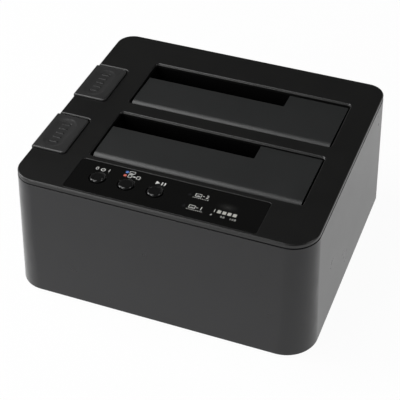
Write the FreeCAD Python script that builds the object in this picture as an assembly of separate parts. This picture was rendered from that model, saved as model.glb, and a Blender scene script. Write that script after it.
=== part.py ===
import FreeCAD, Part
import math
import os

from FreeCAD import Vector

# A two-bay drive duplicator: a tapered shell under a flat cover, two drive bays behind sprung flaps,
# two eject buttons that lift the drives through levers, and a control panel along the front edge.
# Millimetres. +X is right, +Y is back, +Z is up. The origin is on the table, under the middle.

# Casing; its corner radii run rear right, rear left, front left, front right
TOP_W = 145.2
TOP_D = 131.6
BODY_H = 66.3
FLARE = 2.6
TOP_CORNERS = (8.9, 8.9, 11.0, 13.3)
FOOT_DROP = 1.5
WALL = 2.4
COVER_T = 2.2
SEAM_H = 0.5
SEAM_INSET = 0.8
COVER_EDGE = 0.5
LIP_H = 3.2
LIP_INSET = 2.55
LIP_T = 1.45
BASE_Z = FOOT_DROP
TOP_Z = BASE_Z + BODY_H
COVER_Z = TOP_Z - COVER_T
SEAM_Z = COVER_Z - SEAM_H

# Base plate, its feet, vents and screws
PLATE_Z = BASE_Z + 0.6
PLATE_T = 2.5
PLATE_TOP = PLATE_Z + PLATE_T
PLATE_GAP = 0.25
LEDGE_H = 1.6
LEDGE_W = 16.0
LEDGE_X = (-40.0, 40.0)
LEDGE_Y = (-32.0, 32.0)
FOOT_R = 6.0
FOOT_SEAT = 0.5
FOOT_X, FOOT_Y = 52.0, 54.0
POST_X, POST_Y = 62.0, 55.5
POST_R = 3.4
CASE_SCREW_R = 1.25
CASE_SCREW_L = 12.0
CASE_HEAD_R = 2.8
CASE_HEAD_H = 1.2
CASE_SINK_R = 3.3
CASE_SINK_H = 1.3
VENT_W = 2.0
VENT_L = 26.0
VENT_PITCH = 6.0
VENT_COUNT = 7
VENT_ROWS = (-26.0, 26.0)

# Bays: each is measured from the front edge of its opening
BAY_FRONT = {"front": -38.7, "rear": 7.1}
BAY_X = (-44.7, 59.5)
BAY_D = 37.2
BAY_CORNER = 1.5
BAY_BEVEL = (0.45, 0.75)
FRAME_WALL = 1.6
FRAME_RELIEF = 0.2
FLOOR_Z = 20.0
FLOOR_T = 2.0
FLOOR_TOP = FLOOR_Z + FLOOR_T
TAB_Z = TOP_Z - 8.0
TAB_T = 2.0
TAB_HALF = 4.0
TAB_AT = 15.0
BAY_SCREW_X = (-50.6, 65.2)
BAY_SCREW_R = 1.1
BAY_SCREW_L = 5.0
BAY_HEAD_R = 2.2
BAY_HEAD_H = 1.5
BAY_BOSS_R = 2.8

# Flap, hinge pin and torsion spring. The flap's front edge is a roll about the pin.
FLAP_X = (-43.7, 58.75)
FLAP_GAP_FRONT = 0.25
FLAP_GAP_REAR = 1.5
FLAP_SINK = 0.5
FLAP_H = 3.9
FLAP_SKIN = 1.9
FLAP_WALL = 1.4
FLAP_RIBS = 5
FLAP_REST = {"front": 0.0, "rear": 1.5}
ROLL_R = 4.5
HUB_R = 2.15
SLOT_Y = 25.4
SLOT_X = 28.3
SLOT_CORNER = 0.8
PIN_R = 0.9
PIN_PLAY = 0.05
PIN_GRIP = 3.0
PIN_BOSS_WALL = 1.3
PIN_BOSS_PLAY = 0.2
COIL_R = 1.35
COIL_WIRE_R = 0.25
COIL_PITCH = 0.8
COIL_TURNS = 4
COIL_X = -34.0
COIL_ROOM = 6.5
COIL_ROOM_R = 2.4
COIL_LEG = 7.0
COIL_SHORT_LEG = 5.9
COIL_LIFT = 28.0
COIL_STEPS = 10
COIL_SIDES = 5

# Eject button, spring and lever
EJECT_Y = (-3.9, 24.3)
EJECT_GAP = (0.4, 1.75)
EJECT_INNER = -55.75
EJECT_SIDE_GAP = 0.35
EJECT_PROUD = 0.9
EJECT_OUT = 0.35
EJECT_CORNER = 2.0
EJECT_EDGE = 0.4
EJECT_BEVEL = (0.0, 0.6)
EJECT_SKIN = 1.8
EJECT_WALL = 1.6
EJECT_TRAVEL = 3.8
SKIRT_H = 10.8
APRON_H = 8.0
APRON_GAP = 0.5
DISH_X = -64.8
DISH_HALF = (5.6, 11.8)
DISH_R = 5.5
DISH_STEPS = ((0.0, 0.0), (1.4, 0.32), (3.2, 0.5))
DISH_DEPTH = DISH_STEPS[-1][1]
RIB_COUNT = 5
RIB_PITCH = 3.5
RIB_SIZE = (3.8, 1.0, 0.4)
STEM_X = -64.5
STEM_HALF = (1.5, 2.0)
SHELF_Z = 40.0
SHELF_T = 2.0
SHELF_HALF = 8.0
SHELF_END = -71.0
STEM_PLAY = 0.25
BARB = 0.7
BARB_H = 2.6
SPRING_R = 3.2
SPRING_WIRE_R = 0.35
SPRING_TURNS = 5
SPRING_STEPS = 10
SPRING_SIDES = 5
PIVOT_X, PIVOT_Z = -55.0, 19.0
LEVER_HUB_R = 2.8
LEVER_T = 3.0
LEVER_HALF = 4.0
LEVER_PIN_R = 1.25
LEVER_PLAY = 0.05
EAR_T = 2.0
EAR_GAP = 0.3
EAR_R = 3.4
LEVER_END = -68.6
LIFTER_X = (-42.2, -38.7)
LIFTER_Y = (6.2, 26.5)
LIFTER_GAP = 0.5
ARM_SLOT_Z = 26.0
CONTACT_GAP = 0.1

# Drive socket
SOCKET_X = (-41.6, -4.0)
SOCKET_MID_Y = 31.3
SOCKET_D = 7.0
SOCKET_TOP = 26.0
SOCKET_SLOT = (33.4, 2.4, 6.5)
SOCKET_KEY_X = -25.5
SOCKET_KEY_W = 2.2
SOCKET_GAP = 0.4

# Control panel
PANEL_X = 46.4
PANEL_Y = (-64.1, -41.7)
PANEL_R = 1.5
PANEL_T = 0.8
PANEL_SINK = 0.15
PANEL_GAP = 0.08
PANEL_Z = TOP_Z - PANEL_SINK - PANEL_T
BUTTONS = {"power_button": -33.9, "mode_button": -19.75, "start_button": -5.5}
BUTTON_Y = -52.9
BUTTON_R = 3.5
BUTTON_RING_R = 4.2
BUTTON_PLAY = 0.25
BUTTON_PROUD = 0.6
BUTTON_BEVEL = 0.45
BUTTON_FLANGE_R = 4.4
BUTTON_FLANGE_T = 1.1
BUTTON_FLANGE_SIDES = 16
BUTTON_FLANGE_GAP = 0.2
BUTTON_TRAVEL = 0.6
PLUNGER_R = 1.75
STATUS_LEDS = {"link_led_lens": (-22.8, -44.1), "copy_led_lens": (-22.8, -46.6)}
DRIVE_LEDS = ((9.9, -49.0), (10.2, -57.2))
LED_R = 0.8
BAR_X = 26.45
BAR_PITCH = 2.43
BAR_COUNT = 4
BAR_HALF = (0.85, 1.0)
BAR_Y = -55.6
LENS_BOTTOM = 62.0
PCB_T = 1.6
PANEL_PCB_Z = 56.8
PANEL_PCB_X = (-44.0, 42.0)
PANEL_PCB_Y = (-61.3, -43.0)
PANEL_SCREWS = ((-41.0, -46.2), (-41.0, -58.0), (39.0, -46.2), (39.0, -58.0))
PANEL_BOSS_R = 2.5
SWITCH_HALF = 3.0
SWITCH_H = 3.5
SWITCH_WELL = 1.5
LED_CHIP = (1.2, 0.8, 0.7)

# Main board and what stands on it
PCB_Z = 8.0
PCB_X = (-57.0, 57.0)
PCB_Y = (-58.0, 60.5)
PCB_TOP = PCB_Z + PCB_T
STANDOFF_R = 3.0
BOARD_SCREWS = ((-50.0, -52.0), (50.0, -52.0), (-52.0, 50.0), (52.0, 50.0))
BOARD_SCREW_R = 1.25
BOARD_SCREW_L = 4.5
BOARD_HEAD_R = 2.6
BOARD_HEAD_H = 1.8
PORT_FACE_Y = 66.8
PORT_PLAY = 0.3
POWER_X = -38.0
POWER_SIZE = (9.0, 14.0, 11.0)
POWER_BORE_R = 3.1
POWER_BORE_L = 10.0
POWER_PIN_R = 1.0
USB_X = -2.0
USB_SIZE = (12.0, 17.0, 11.0)
USB_MOUTH = (8.6, 9.5, 7.8)
USB_TONGUE = (5.6, 8.0, 3.1)
ESATA_X = 28.0
ESATA_SIZE = (14.6, 16.0, 7.2)
ESATA_MOUTH = (11.6, 8.5, 4.6)
ESATA_TONGUE = (8.6, 7.0, 1.4)
CHIPS = ((16.0, -14.0, 14.0), (30.0, 20.0, 10.0), (40.0, -28.0, 10.0), (-20.0, -24.0, 7.0))
CHIP_H = 1.6
CAPACITORS = ((-52.0, 40.0), (-20.0, 54.0), (14.0, 54.0), (44.0, 44.0), (-34.0, -50.0), (34.0, -56.0))
CAPACITOR_R = 3.15
CAPACITOR_H = 7.7

# Ribbon cable from the control panel down to the main board
RIBBON_X = (4.0, 22.0)
RIBBON_T = 0.7
RIBBON_Y = (-56.0, -49.0)
RIBBON_BEND_R = 8.0
RIBBON_JOG_Z = 33.0
CONNECTOR_D = 5.0
CONNECTOR_H = 6.0
CONNECTOR_WALL = 1.5


def lean(z):
    # how far the sides stand out from the top outline at height z
    return FLARE * (TOP_Z - z) / BODY_H


def rounded_wire(half_x, half_y, radii, z, center=(0.0, 0.0)):
    # a rectangle with one radius for all corners, or four: rear right, rear left, front left, front right
    if not isinstance(radii, tuple):
        radii = (radii,) * 4
    arcs = []
    for radius, (side_x, side_y, start) in zip(radii, ((1, 1, 0), (-1, 1, 90), (-1, -1, 180), (1, -1, 270))):
        middle_x = center[0] + side_x * (half_x - radius)
        middle_y = center[1] + side_y * (half_y - radius)
        circle = Part.Circle(Vector(middle_x, middle_y, z), Vector(0, 0, 1), radius)
        arcs.append(Part.Arc(circle, math.radians(start), math.radians(start + 90)).toShape())
    edges = []
    for arc, following in zip(arcs, arcs[1:] + arcs[:1]):
        edges.append(arc)
        edges.append(Part.makeLine(arc.Vertexes[-1].Point, following.Vertexes[0].Point))
    return Part.Wire(edges)


def outline(z, inset):
    half_x = TOP_W / 2 + lean(z) - inset
    half_y = TOP_D / 2 + lean(z) - inset
    return rounded_wire(half_x, half_y, tuple(radius + lean(z) - inset for radius in TOP_CORNERS), z)


def tapered(low, high, inset):
    return Part.makeLoft([outline(low, inset), outline(high, inset)], True, True)


def tapered_ring(low, high, outer, inner):
    return tapered(low, high, outer).cut(tapered(low, high, inner))


def upright(wire, height):
    return Part.Face(wire).extrude(Vector(0, 0, height))


def slab(x, y, z):
    return Part.makeBox(x[1] - x[0], y[1] - y[0], z[1] - z[0], Vector(x[0], y[0], z[0]))


def rounded_slab(x, y, z, radius):
    center = ((x[0] + x[1]) / 2, (y[0] + y[1]) / 2)
    wire = rounded_wire((x[1] - x[0]) / 2, (y[1] - y[0]) / 2, radius, z[0], center)
    return upright(wire, z[1] - z[0])


def post(x, y, low, high, radius):
    return Part.makeCylinder(radius, high - low, Vector(x, y, low))


def stud(x, y, low, high, radius, sides=10):
    # a hidden post or bore, drawn with flat sides to keep the model light
    turn = 2 * math.pi / sides
    corners = [Vector(x + radius * math.cos(turn * i), y + radius * math.sin(turn * i), low) for i in range(sides)]
    return upright(Part.makePolygon(corners + corners[:1]), high - low)


def rod_x(low, high, y, z, radius):
    return Part.makeCylinder(radius, high - low, Vector(low, y, z), Vector(1, 0, 0))


def rod_y(x, low, high, z, radius):
    return Part.makeCylinder(radius, high - low, Vector(x, low, z), Vector(0, 1, 0))


def join(shapes):
    return shapes[0].fuse(shapes[1:]).removeSplitter()


def centered(middle, size):
    return (middle - size / 2, middle + size / 2)


def level_edges(shape, z):
    return [edge for edge in shape.Edges if all(abs(v.Z - z) < 1e-6 for v in edge.Vertexes)]


def bent_wire(path, radius, sides):
    # a wire of a few flat sides along a path of points, closed with a flat end at each end
    rings = []
    across = Vector(0, 0, 1) if abs((path[1] - path[0]).normalize().z) < 0.9 else Vector(1, 0, 0)
    for index, point in enumerate(path):
        before = path[max(index - 1, 0)]
        after = path[min(index + 1, len(path) - 1)]
        along = (after - before).normalize()
        across = (across - along * across.dot(along)).normalize()
        beside = along.cross(across)
        turn = 2 * math.pi / sides
        rings.append([point + across * (radius * math.cos(turn * i)) + beside * (radius * math.sin(turn * i))
                      for i in range(sides)])
    faces = [polygon_face(rings[0]), polygon_face(rings[-1])]
    for ring, following in zip(rings, rings[1:]):
        for i in range(sides):
            j = (i + 1) % sides
            faces.append(polygon_face([ring[i], ring[j], following[i]]))
            faces.append(polygon_face([ring[j], following[j], following[i]]))
    shell = Part.Shell(faces)
    shell.sewShape()
    solid = Part.Solid(shell)
    if solid.Volume < 0:
        solid.reverse()
    return solid


def polygon_face(points):
    return Part.Face(Part.makePolygon(points + points[:1]))


def helix_points(radius, pitch, turns, steps):
    # points of a helix about +Z that starts on +X at height zero
    turn = 2 * math.pi / steps
    return [Vector(radius * math.cos(turn * i), radius * math.sin(turn * i), pitch * i / steps)
            for i in range(turns * steps + 1)]


def export(name, shape):
    bodies = shape.Solids
    print(name, len(bodies), "solid", round(shape.Volume, 1), "mm3", "valid" if shape.isValid() else "INVALID")
    whole = bodies[0] if len(bodies) == 1 else Part.makeCompound(bodies)
    whole.exportStep("parts/" + name + ".step")


def eject_range(front):
    return (front + EJECT_Y[0], front + EJECT_Y[1])


def eject_mouth(front):
    return (front + EJECT_Y[0] - EJECT_GAP[0], front + EJECT_Y[1] + EJECT_GAP[1])


def stem_y(front):
    return front + (EJECT_Y[0] + EJECT_Y[1]) / 2


def hinge(front):
    return front + FLAP_GAP_FRONT + ROLL_R, TOP_Z - FLAP_SINK - ROLL_R


def outer_shell():
    shell = tapered_ring(BASE_Z, SEAM_Z, 0.0, WALL)
    ring = tapered_ring(PLATE_TOP, PLATE_TOP + LEDGE_H, WALL - 0.5, WALL + LEDGE_H)
    ledges = [ring.common(slab(centered(x, LEDGE_W), (-TOP_D, TOP_D), (BASE_Z, TOP_Z))) for x in LEDGE_X]
    ledges += [ring.common(slab((-TOP_W, TOP_W), centered(y, LEDGE_W), (BASE_Z, TOP_Z))) for y in LEDGE_Y]
    shell = join([shell] + ledges)
    notch_low = TOP_Z - SKIRT_H - EJECT_TRAVEL - 0.5
    for front in BAY_FRONT.values():
        shell = shell.cut(slab((-TOP_W, EJECT_INNER), eject_mouth(front), (notch_low, TOP_Z)))
    for x, size, low in port_places():
        width, height = size[0] + 2 * PORT_PLAY, size[2] + 2 * PORT_PLAY
        mouth = rounded_slab(centered(x, width), centered(0, height), (0, TOP_D), 0.8)
        mouth.rotate(Vector(x, 0, 0), Vector(1, 0, 0), -90)
        mouth.translate(Vector(0, PORT_FACE_Y - 2 * WALL, low + size[2] / 2))
        shell = shell.cut(mouth)
    return shell


def port_places():
    return ((POWER_X, POWER_SIZE, PCB_TOP), (USB_X, USB_SIZE, PCB_TOP), (ESATA_X, ESATA_SIZE, PCB_TOP))


def cover_mouth(x, y, corner, bevel):
    # an opening through the cover, with a bevel along its sides and its rear edge
    side, rear = bevel
    center_x = (x[0] + x[1]) / 2
    half_x, half_y = (x[1] - x[0]) / 2, (y[1] - y[0]) / 2
    wide_y = half_y + rear / 2
    mouth = rounded_slab(x, y, (PCB_Z, TOP_Z + 1), corner)
    narrow = rounded_wire(half_x, half_y, corner, TOP_Z - rear, (center_x, y[0] + half_y))
    wide = rounded_wire(half_x + side, wide_y, corner + rear / 2, TOP_Z, (center_x, y[0] + wide_y))
    return mouth.fuse(Part.makeLoft([narrow, wide], True, True))


def bay_mouth(front):
    return cover_mouth(BAY_X, (front, front + BAY_D), BAY_CORNER, BAY_BEVEL)


def cover_eject_mouth(front):
    return cover_mouth((-TOP_W, EJECT_INNER + EJECT_SIDE_GAP), eject_mouth(front), EJECT_CORNER, EJECT_BEVEL)


def pin_boss(x, front):
    y, z = hinge(front)
    half = PIN_R + PIN_BOSS_WALL
    return slab(x, (y - half, y + half), (z - half, COVER_Z))


def pin_ends():
    return ((BAY_X[0] - PIN_GRIP, BAY_X[0]), (BAY_X[1], BAY_X[1] + PIN_GRIP))


def top_cover():
    plate = upright(outline(TOP_Z, 0.0), -COVER_T)
    plate = plate.makeChamfer(COVER_EDGE, level_edges(plate, TOP_Z))
    seat = upright(outline(SEAM_Z, SEAM_INSET), SEAM_H)
    lip = upright(outline(SEAM_Z - LIP_H, LIP_INSET + 0.12), LIP_H)
    hollow = upright(outline(SEAM_Z - LIP_H, LIP_INSET + LIP_T), LIP_H + SEAM_H)
    cover = join([plate, seat.cut(hollow), lip.cut(hollow)])
    solids = [cover]
    holes = []
    for x in (-POST_X, POST_X):
        for y in (-POST_Y, POST_Y):
            solids.append(stud(x, y, PLATE_TOP, COVER_Z, POST_R))
            holes.append(stud(x, y, PLATE_TOP - 1, PLATE_TOP + CASE_SCREW_L, CASE_SCREW_R))
    for front in BAY_FRONT.values():
        for end in pin_ends():
            solids.append(pin_boss(end, front))
            holes.append(rod_x(end[0], end[1], *hinge(front), PIN_R))
        for x in BAY_SCREW_X:
            solids.append(stud(x, front + TAB_AT, TAB_Z + TAB_T, COVER_Z, BAY_BOSS_R))
            holes.append(stud(x, front + TAB_AT, TAB_Z, COVER_Z - 0.5, BAY_SCREW_R))
        holes.append(bay_mouth(front))
        holes.append(cover_eject_mouth(front))
    for x, y in PANEL_SCREWS:
        solids.append(stud(x, y, PANEL_PCB_Z + PCB_T, COVER_Z, PANEL_BOSS_R))
        holes.append(stud(x, y, PANEL_PCB_Z, COVER_Z - 0.5, BAY_SCREW_R))
    holes.append(panel_outline(PANEL_GAP, PANEL_Z, TOP_Z + 1))
    for x in BUTTONS.values():
        holes.append(post(x, BUTTON_Y, COVER_Z - 1, TOP_Z, BUTTON_R + BUTTON_PLAY))
    for x, y in lens_places():
        holes.append(stud(x, y, COVER_Z - 1, TOP_Z, LED_R))
    for block in bar_blocks(COVER_Z - 1, TOP_Z):
        holes.append(block)
    return join(solids).cut(holes)


def base_plate():
    plate = upright(outline(PLATE_Z, WALL + PLATE_GAP), PLATE_T)
    standoffs = [stud(x, y, PLATE_TOP, PCB_Z, STANDOFF_R) for x, y in BOARD_SCREWS]
    plate = join([plate] + standoffs)
    holes = []
    for x in (-1, 1):
        for y in (-1, 1):
            holes.append(post(x * FOOT_X, y * FOOT_Y, BASE_Z, PLATE_Z + FOOT_SEAT, FOOT_R))
            holes.append(post(x * POST_X, y * POST_Y, BASE_Z, PLATE_Z + CASE_SINK_H, CASE_SINK_R))
            holes.append(stud(x * POST_X, y * POST_Y, BASE_Z, PLATE_TOP + 1, CASE_SCREW_R))
    for x, y in BOARD_SCREWS:
        holes.append(stud(x, y, PCB_TOP - BOARD_SCREW_L, PCB_TOP, BOARD_SCREW_R))
    for row in VENT_ROWS:
        for index in range(VENT_COUNT):
            x = (index - (VENT_COUNT - 1) / 2) * VENT_PITCH
            holes.append(slab(centered(x, VENT_W), centered(row, VENT_L), (BASE_Z, PLATE_TOP + 1)))
    return plate.cut(holes)


def feet():
    pads = []
    for x in (-FOOT_X, FOOT_X):
        for y in (-FOOT_Y, FOOT_Y):
            pads.append(post(x, y, 0, PLATE_Z + FOOT_SEAT, FOOT_R))
    return Part.makeCompound(pads)


def screw(x, y, head_z, length, radius, head_radius, head_height, upwards):
    # head_z is the face under the head; the shank runs upwards or downwards from it
    if upwards:
        head = stud(x, y, head_z - head_height, head_z, head_radius)
        return join([head, stud(x, y, head_z - 0.1, head_z + length, radius)])
    head = stud(x, y, head_z, head_z + head_height, head_radius)
    return join([head, stud(x, y, head_z - length, head_z + 0.1, radius)])


def case_screws():
    sizes = (PLATE_Z + CASE_SINK_H, CASE_SCREW_L, CASE_SCREW_R, CASE_HEAD_R, CASE_HEAD_H, True)
    return Part.makeCompound([screw(x, y, *sizes) for x in (-POST_X, POST_X) for y in (-POST_Y, POST_Y)])


def bay_screws():
    sizes = (TAB_Z, BAY_SCREW_L, BAY_SCREW_R, BAY_HEAD_R, BAY_HEAD_H, True)
    return Part.makeCompound(
        [screw(x, front + TAB_AT, *sizes) for front in BAY_FRONT.values() for x in BAY_SCREW_X])


def board_screws():
    sizes = (PCB_TOP, BOARD_SCREW_L, BOARD_SCREW_R, BOARD_HEAD_R, BOARD_HEAD_H, False)
    return Part.makeCompound([screw(x, y, *sizes) for x, y in BOARD_SCREWS])


def panel_board_screws():
    sizes = (PANEL_PCB_Z, BAY_SCREW_L, BAY_SCREW_R, BAY_HEAD_R, BAY_HEAD_H, True)
    return Part.makeCompound([screw(x, y, *sizes) for x, y in PANEL_SCREWS])


def bay_frame(front):
    # the well a drive drops into, with its floor, its screw tabs, the button's shelf and the lever's ears
    inner_y = (front - FRAME_RELIEF, front + BAY_D)
    outer_x = (BAY_X[0] - FRAME_WALL, BAY_X[1] + FRAME_WALL)
    outer_y = (inner_y[0] - FRAME_WALL, inner_y[1] + FRAME_WALL)
    well = slab(outer_x, outer_y, (FLOOR_Z, COVER_Z))
    well = well.cut(rounded_slab(BAY_X, inner_y, (FLOOR_TOP, COVER_Z + 1), BAY_CORNER))
    middle = stem_y(front)
    solids = [well]
    tab_y = centered(front + TAB_AT, 2 * TAB_HALF)
    solids.append(slab((BAY_SCREW_X[0] - TAB_HALF, BAY_X[0] - 0.5), tab_y, (TAB_Z, TAB_Z + TAB_T)))
    solids.append(slab((BAY_X[1] + 0.5, BAY_SCREW_X[1] + TAB_HALF - 1), tab_y, (TAB_Z, TAB_Z + TAB_T)))
    shelf_y = centered(middle, 2 * SHELF_HALF)
    solids.append(slab((SHELF_END, BAY_X[0] - 0.5), shelf_y, (SHELF_Z, SHELF_Z + SHELF_T)))
    for side in (-1, 1):
        ear_mid = middle + side * (LEVER_HALF + EAR_GAP + EAR_T / 2)
        solids.append(ear(centered(ear_mid, EAR_T)))
    tools = []
    for end in pin_ends():
        y, z = hinge(front)
        half = PIN_R + PIN_BOSS_WALL + PIN_BOSS_PLAY
        tools.append(slab((end[0] - 1, end[1] + 1), (y - half, y + half), (z - half, TOP_Z)))
    for x in BAY_SCREW_X:
        tools.append(stud(x, front + TAB_AT, TAB_Z - 1, TAB_Z + TAB_T + 1, BAY_SCREW_R))
    hole_x = centered(STEM_X, 2 * (STEM_HALF[0] + STEM_PLAY))
    hole_y = centered(middle, 2 * (STEM_HALF[1] + STEM_PLAY))
    tools.append(slab(hole_x, hole_y, (SHELF_Z - 1, SHELF_Z + SHELF_T + 1)))
    tools.append(rod_y(PIVOT_X, middle - TOP_D / 2, middle + TOP_D / 2, PIVOT_Z, LEVER_PIN_R))
    socket_y = centered(front + SOCKET_MID_Y, SOCKET_D + 2 * SOCKET_GAP)
    tools.append(slab((SOCKET_X[0] - SOCKET_GAP, SOCKET_X[1] + SOCKET_GAP), socket_y, (FLOOR_Z - 1, FLOOR_TOP + 1)))
    slot_y = (front + LIFTER_Y[0] - LIFTER_GAP, front + LIFTER_Y[1] + LIFTER_GAP)
    tools.append(slab((BAY_X[0], LIFTER_X[1] + LIFTER_GAP), slot_y, (FLOOR_Z - 1, FLOOR_TOP + 1)))
    arm_y = centered(middle, 2 * (LEVER_HALF + LIFTER_GAP))
    tools.append(slab((outer_x[0] - 1, BAY_X[0] + 0.1), arm_y, (FLOOR_Z - 1, ARM_SLOT_Z)))
    return join(solids).cut(tools)


def ear(y):
    # a bracket that carries one end of the lever's pin, hung from the shelf along the well's left wall
    plate = slab((PIVOT_X - EAR_R, BAY_X[0] - FRAME_WALL / 2), y, (PIVOT_Z, SHELF_Z + SHELF_T / 2))
    nose = rod_y(PIVOT_X, y[0], y[1], PIVOT_Z, EAR_R)
    foot = slab((PIVOT_X, PIVOT_X + EAR_R), y, (PIVOT_Z - EAR_R, PIVOT_Z + 1))
    return join([plate, nose, foot])


def flap(front, opened):
    # a ribbed lid whose front edge is a roll about the pin; at rest it may hang open by a degree or two
    axis_y, axis_z = hinge(front)
    top = TOP_Z - FLAP_SINK
    low = top - FLAP_H
    back = front + BAY_D - FLAP_GAP_REAR
    panel = slab(FLAP_X, (axis_y, back), (low, top))
    notch = rounded_slab((FLAP_X[0] - 10, SLOT_X), (front + SLOT_Y, back + 10), (low - 1, top + 1), SLOT_CORNER)
    panel = panel.cut(notch)
    inner = (FLAP_X[0] + FLAP_WALL, FLAP_X[1] - FLAP_WALL)
    pocket_y = (axis_y + HUB_R + FLAP_WALL / 2, front + SLOT_Y - FLAP_WALL)
    pocket_front = slab(inner, pocket_y, (low - 1, top - FLAP_SKIN))
    pocket_back = slab((SLOT_X + FLAP_WALL, inner[1]), (pocket_y[1] - FLAP_WALL, back - FLAP_WALL),
                       (low - 1, top - FLAP_SKIN))
    panel = panel.cut([pocket_front, pocket_back])
    roll = rod_x(FLAP_X[0], FLAP_X[1], axis_y, axis_z, ROLL_R)
    roll = roll.common(slab(FLAP_X, (front, axis_y), (axis_z, top)))
    solids = [panel, roll, rod_x(FLAP_X[0], FLAP_X[1], axis_y, axis_z, HUB_R)]
    for index in range(FLAP_RIBS):
        x = inner[0] + (index + 1) * (inner[1] - inner[0]) / (FLAP_RIBS + 1)
        solids.append(slab(centered(x, FLAP_WALL), (axis_y, front + SLOT_Y - FLAP_WALL / 2), (low + 1, top - 1)))
    coil_x = centered(COIL_X, COIL_ROOM)
    room_y = (axis_y - COIL_ROOM_R, axis_y + COIL_ROOM_R)
    tools = [rod_x(FLAP_X[0] - 1, FLAP_X[1] + 1, axis_y, axis_z, PIN_R + PIN_PLAY),
             rod_x(coil_x[0], coil_x[1], axis_y, axis_z, COIL_ROOM_R),
             slab(coil_x, room_y, (axis_z - ROLL_R, axis_z)),
             slab(coil_x, (axis_y, axis_y + COIL_LEG + 2), (low - 1, top - FLAP_SKIN))]
    lid = join(solids).cut(tools)
    lid.rotate(Vector(0, axis_y, axis_z), Vector(1, 0, 0), -opened)
    return lid


def flap_pin(front):
    return rod_x(BAY_X[0] - PIN_GRIP, BAY_X[1] + PIN_GRIP, *hinge(front), PIN_R)


def flap_spring(front):
    # a coil about the hinge pin: its long leg lies under the flap, its short leg points at the well's front wall
    axis_y, axis_z = hinge(front)
    length = COIL_PITCH * COIL_TURNS
    path = helix_points(COIL_R, COIL_PITCH, COIL_TURNS, COIL_STEPS)
    path = [path[0] - Vector(0, COIL_SHORT_LEG, 0)] + path + [path[-1] + Vector(0, COIL_LEG, 0)]
    spring = bent_wire(path, COIL_WIRE_R, COIL_SIDES)
    spring.rotate(Vector(0, 0, 0), Vector(0, 1, 0), 90)
    spring.rotate(Vector(0, 0, 0), Vector(1, 0, 0), COIL_LIFT)
    spring.translate(Vector(COIL_X - length / 2, axis_y, axis_z))
    return spring


def eject_button(front):
    face = TOP_Z + EJECT_PROUD
    y = eject_range(front)
    middle = stem_y(front)
    skirt_low = TOP_Z - SKIRT_H
    block = rounded_slab((-TOP_W, EJECT_INNER), y, (PCB_Z, face), EJECT_CORNER)
    skirt_z = (skirt_low, face)
    cap = tapered(*skirt_z, -EJECT_OUT).common(block)
    cap = cap.makeChamfer(EJECT_EDGE, level_edges(cap, face))
    room = slab((-TOP_W, EJECT_INNER - EJECT_WALL), (y[0] + EJECT_WALL, y[1] - EJECT_WALL),
                (skirt_low - 1, face - EJECT_SKIN - DISH_DEPTH))
    cap = cap.cut(tapered(skirt_low - 1, face, EJECT_WALL).common(room))
    apron_out = WALL + APRON_GAP
    apron_in = apron_out + EJECT_WALL
    step = tapered_ring(skirt_low, skirt_low + EJECT_WALL, -EJECT_OUT, apron_in)
    apron = tapered_ring(skirt_low - APRON_H, skirt_low + EJECT_WALL, apron_out, apron_in)
    side = slab((-TOP_W, DISH_X), (y[0] + 0.2, y[1] - 0.2), (PCB_Z, TOP_Z))
    stem_top = face - EJECT_SKIN - DISH_DEPTH + 0.5
    stem = stem_shape(middle, stem_top)
    dish = dish_shape(middle, face)
    button = join([cap, step.common(side), apron.common(side), stem]).cut(dish)
    ribs = []
    for index in range(RIB_COUNT):
        rib_y = middle + (index - (RIB_COUNT - 1) / 2) * RIB_PITCH
        rib = slab(centered(DISH_X, RIB_SIZE[0]), centered(rib_y, RIB_SIZE[1]),
                   (face - DISH_DEPTH - 0.1, face - DISH_DEPTH + RIB_SIZE[2]))
        ribs.append(rib)
    return join([button] + ribs)


def stem_shape(middle, top):
    # the stem pushes the lever with a round nose and is kept in its shelf by two barbs
    nose_z = lever_face() + CONTACT_GAP + STEM_HALF[0]
    shank = slab(centered(STEM_X, 2 * STEM_HALF[0]), centered(middle, 2 * STEM_HALF[1]), (nose_z, top))
    nose = rod_y(STEM_X, middle - STEM_HALF[1], middle + STEM_HALF[1], nose_z, STEM_HALF[0])
    barb_z = (SHELF_Z - CONTACT_GAP - BARB_H, SHELF_Z - CONTACT_GAP)
    barbs = slab(centered(STEM_X, 2 * STEM_HALF[0]), centered(middle, 2 * (STEM_HALF[1] + BARB)), barb_z)
    return join([shank, nose, barbs])


def dish_shape(middle, face):
    # a finger dish whose sides ease off in steps
    rings = []
    for inset, depth in DISH_STEPS:
        half_x, half_y = DISH_HALF[0] - inset, DISH_HALF[1] - inset
        rings.append(rounded_wire(half_x, half_y, DISH_R - inset, face - depth, (DISH_X, middle)))
    steps = [Part.makeLoft([low, high], True, True) for high, low in zip(rings, rings[1:])]
    return steps[0].fuse(steps[1:])


def lever_face():
    return PIVOT_Z + LEVER_T / 2


def eject_lever(front):
    middle = stem_y(front)
    y = centered(middle, 2 * LEVER_HALF)
    arm_z = (PIVOT_Z - LEVER_T / 2, PIVOT_Z + LEVER_T / 2)
    lifter_y = (front + LIFTER_Y[0], front + LIFTER_Y[1])
    hub = rod_y(PIVOT_X, y[0], y[1], PIVOT_Z, LEVER_HUB_R)
    outer_arm = slab((LEVER_END, PIVOT_X), y, arm_z)
    inner_arm = slab((PIVOT_X, LIFTER_X[1]), y, arm_z)
    inner_bar = slab(LIFTER_X, lifter_y, arm_z)
    lifter = slab(LIFTER_X, lifter_y, (arm_z[0], FLOOR_TOP - LIFTER_GAP))
    lifter = lifter.makeFillet(0.8, level_edges(lifter, FLOOR_TOP - LIFTER_GAP))
    brace = slab((PIVOT_X + LEVER_HUB_R + 2, LIFTER_X[1]), centered(middle, LEVER_T), (arm_z[0] - 1.5, arm_z[1]))
    bore = rod_y(PIVOT_X, y[0] - 1, y[1] + 1, PIVOT_Z, LEVER_PIN_R + LEVER_PLAY)
    return join([hub, outer_arm, inner_arm, inner_bar, lifter, brace]).cut(bore)


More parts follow.
